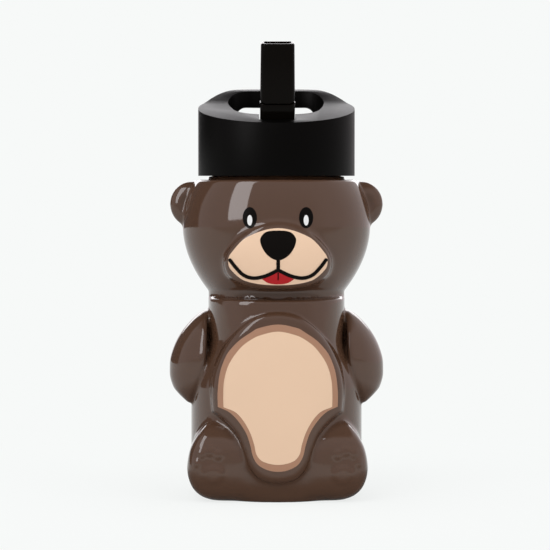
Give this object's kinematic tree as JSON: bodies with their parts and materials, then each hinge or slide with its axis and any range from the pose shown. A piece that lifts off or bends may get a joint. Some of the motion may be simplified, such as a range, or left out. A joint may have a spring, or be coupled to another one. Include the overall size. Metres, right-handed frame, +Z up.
{
  "type": "bear-shaped water bottle",
  "caption": "Sitting bear shaped drinking bottle of tinted plastic, with a black screw lid, a carry loop and a flip-up straw spout.",
  "frame": {"origin": "middle of the bottle's flat base, on the axis of the neck and lid", "axes": "+Z up along the neck's axis, -Y towards the bear's face, +X to the right of the face as seen from the front"},
  "size_m": [0.104, 0.086, 0.2155],
  "materials": {
    "tinted_bottle_plastic": "glossy smoky brown see-through plastic",
    "black_lid_plastic": "satin black moulded plastic",
    "dark_inner_plastic": "matt dark grey moulded plastic",
    "gasket_silicone": "soft milky silicone",
    "gloss_black_plastic": "polished black plastic",
    "mouthpiece_black": "polished black plastic",
    "barrel_silicone": "soft milky silicone",
    "valve_silicone": "soft milky silicone",
    "straw_plastic": "milky see-through plastic",
    "black_ink": "satin black print",
    "white_ink": "satin white print",
    "peach_ink": "satin peach print",
    "red_ink": "satin red print",
    "brown_ink": "satin brown print",
    "belly_peach_ink": "satin peach print"
  },
  "bodies": {
    "bottle": {"bottle_body": "tinted_bottle_plastic", "eye_print_left": "black_ink", "eye_print_right": "black_ink", "nose_print": "black_ink", "mouth_print": "black_ink", "eye_glint_left": "white_ink", "eye_glint_right": "white_ink", "muzzle_print": "peach_ink", "tongue_print": "red_ink", "belly_print_border": "brown_ink", "belly_print_panel": "belly_peach_ink"},
    "lid_ring": {"lid_gasket": "gasket_silicone"},
    "lid": {"lid_shell": "black_lid_plastic", "lid_insert": "dark_inner_plastic", "barrel_seal": "barrel_silicone", "vent_valve": "valve_silicone", "drinking_straw": "straw_plastic"},
    "spout": {"spout_barrel": "gloss_black_plastic", "mouthpiece": "mouthpiece_black"}
  },
  "joints": [
    {"name": "lid_lift", "type": "slide", "parent": "bottle", "child": "lid_ring", "axis": [0, 0, 1], "range_m": [0, 0.17]},
    {"name": "lid_turn", "type": "hinge", "parent": "lid_ring", "child": "lid", "pos_m": [0, 0, 0.1688], "axis": [0, 0, 1], "range_deg": [0, 450]},
    {"name": "spout_flip", "type": "hinge", "parent": "lid", "child": "spout", "pos_m": [0, -0.0235, 0.177], "axis": [-1, 0, 0], "range_deg": [0, 90]}
  ]
}
